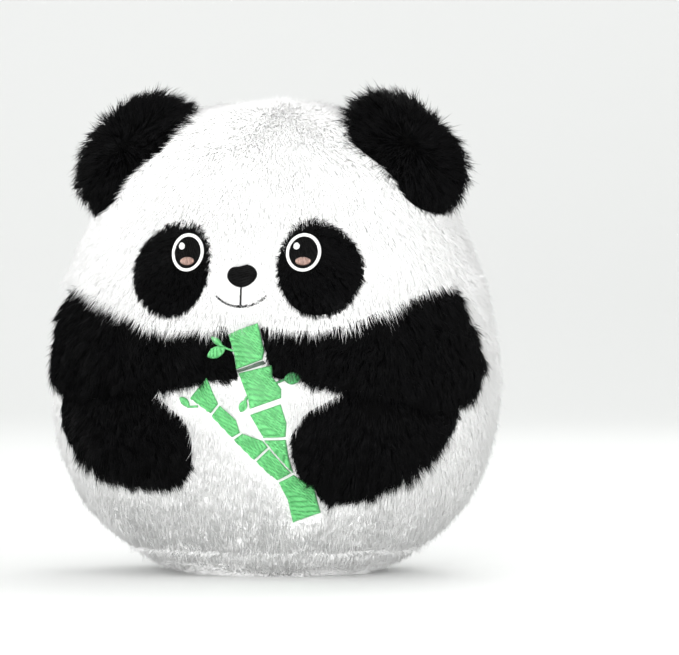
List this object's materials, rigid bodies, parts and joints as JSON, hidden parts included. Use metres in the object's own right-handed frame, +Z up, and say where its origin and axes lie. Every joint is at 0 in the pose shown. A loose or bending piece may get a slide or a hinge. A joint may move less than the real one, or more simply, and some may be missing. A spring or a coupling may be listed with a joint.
{
  "type": "plush panda",
  "caption": "Round sitting plush panda with black stuffed ears, inset black limbs and embroidered eyes, nose and bamboo.",
  "frame": {"origin": "middle of the flat rest face under the base, on the floor", "axes": "+Z up through the crown; the panda faces -Y; +X is the panda's own left"},
  "size_m": [0.1866, 0.167, 0.2002],
  "materials": {
    "white_plush": "matte",
    "black_plush": "matte",
    "black_thread": "satin",
    "white_thread": "satin",
    "brown_thread": "satin",
    "green_thread": "satin",
    "dark_green_thread": "satin",
    "grey_thread": "satin",
    "polyester_filling": "matte",
    "label_cloth": "satin"
  },
  "bodies": {
    "body": {"back_left_panel": "white_plush", "back_right_panel": "white_plush", "bamboo_joint_thread": "grey_thread", "bamboo_leaf_crown": "green_thread", "bamboo_leaf_left": "green_thread", "bamboo_leaf_middle": "green_thread", "bamboo_leaf_right": "dark_green_thread", "bamboo_leaf_upper": "green_thread", "bamboo_shoot_fourth": "green_thread", "bamboo_shoot_second": "green_thread", "bamboo_shoot_third": "green_thread", "bamboo_shoot_top": "green_thread", "bamboo_stalk_base": "green_thread", "bamboo_stalk_fourth": "green_thread", "bamboo_stalk_second": "green_thread", "bamboo_stalk_third": "green_thread", "bamboo_stalk_top": "green_thread", "base_panel": "white_plush", "belly_panel": "white_plush", "body_filling": "polyester_filling", "closing_stitches": "white_thread", "face_panel": "white_plush", "left_arm": "black_plush", "left_eye_black": "black_thread", "left_eye_glint": "white_thread", "left_eye_iris": "brown_thread", "left_eye_patch": "black_plush", "left_eye_ring": "white_thread", "left_leg": "black_plush", "mouth_stitches": "black_thread", "nose": "black_thread", "right_arm": "black_plush", "right_eye_black": "black_thread", "right_eye_glint": "white_thread", "right_eye_iris": "brown_thread", "right_eye_patch": "black_plush", "right_eye_ring": "white_thread", "right_leg": "black_plush"},
    "right_ear": {"right_ear_back": "black_plush", "right_ear_filling": "polyester_filling", "right_ear_front": "black_plush"},
    "left_ear": {"left_ear_back": "black_plush", "left_ear_filling": "polyester_filling", "left_ear_front": "black_plush"},
    "label": {"care_label": "label_cloth"}
  },
  "joints": [
    {"name": "left_ear_fold", "type": "hinge", "parent": "body", "child": "left_ear", "pos_m": [0.05574, -0.013, 0.17533], "axis": [0.7157, 0, -0.6984], "range_deg": [-25, 30], "stiffness_Nm_per_rad": 0.05},
    {"name": "right_ear_fold", "type": "hinge", "parent": "body", "child": "right_ear", "pos_m": [-0.05574, -0.013, 0.17533], "axis": [0.7157, 0, 0.6984], "range_deg": [-25, 30], "stiffness_Nm_per_rad": 0.05},
    {"name": "label_flap", "type": "hinge", "parent": "body", "child": "label", "pos_m": [0, 0.08197, 0.078], "axis": [0, 0, -1], "range_deg": [-3, 174]}
  ]
}
